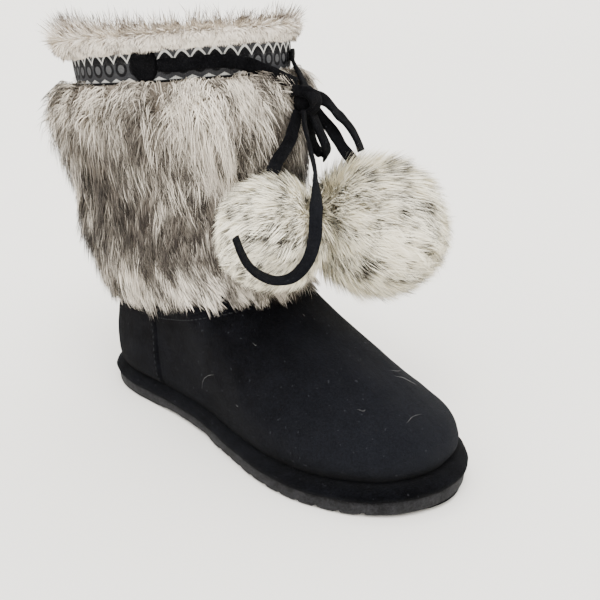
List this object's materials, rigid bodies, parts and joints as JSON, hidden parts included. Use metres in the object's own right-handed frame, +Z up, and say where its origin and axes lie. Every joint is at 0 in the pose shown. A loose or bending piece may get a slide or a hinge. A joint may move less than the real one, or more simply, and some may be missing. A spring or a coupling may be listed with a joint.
{
  "type": "mukluk boot",
  "caption": "Pull-on suede boot for the right foot with a long fur sleeve over the shaft, a short fur collar, a woven band, a tied lace and fur pompoms on a flat rubber sole.",
  "frame": {"origin": "on the floor, on the sole's underside under the middle of the heel seat", "axes": "+X towards the toe along the sole's length, +Y towards the medial side, +Z up out of the collar"},
  "size_m": [0.3015, 0.1421, 0.2462],
  "materials": {
    "dark_rubber": "matt",
    "black_suede": "napped",
    "black_fleece": "soft pile",
    "woven_ribbon": "woven",
    "grey_fur": "long pile"
  },
  "bodies": {
    "root": {"outsole": "dark_rubber", "midsole": "black_suede", "upper": "black_suede", "heel_counter": "black_suede", "vamp_seam": "black_suede", "lace_tab_lateral": "black_suede", "lace_tab_medial": "black_suede", "lace_lateral": "black_suede", "lace_medial": "black_suede", "lace_knot": "black_suede", "bow_loop": "black_suede", "free_end_long": "black_suede", "free_end_short": "black_suede", "pompom_cord_lateral": "black_suede", "pompom_cord_medial": "black_suede", "insole": "black_fleece", "ribbon": "woven_ribbon", "fur_shaft": "grey_fur", "fur_collar": "grey_fur", "pompom_lateral": "grey_fur", "pompom_medial": "grey_fur"}
  },
  "joints": []
}
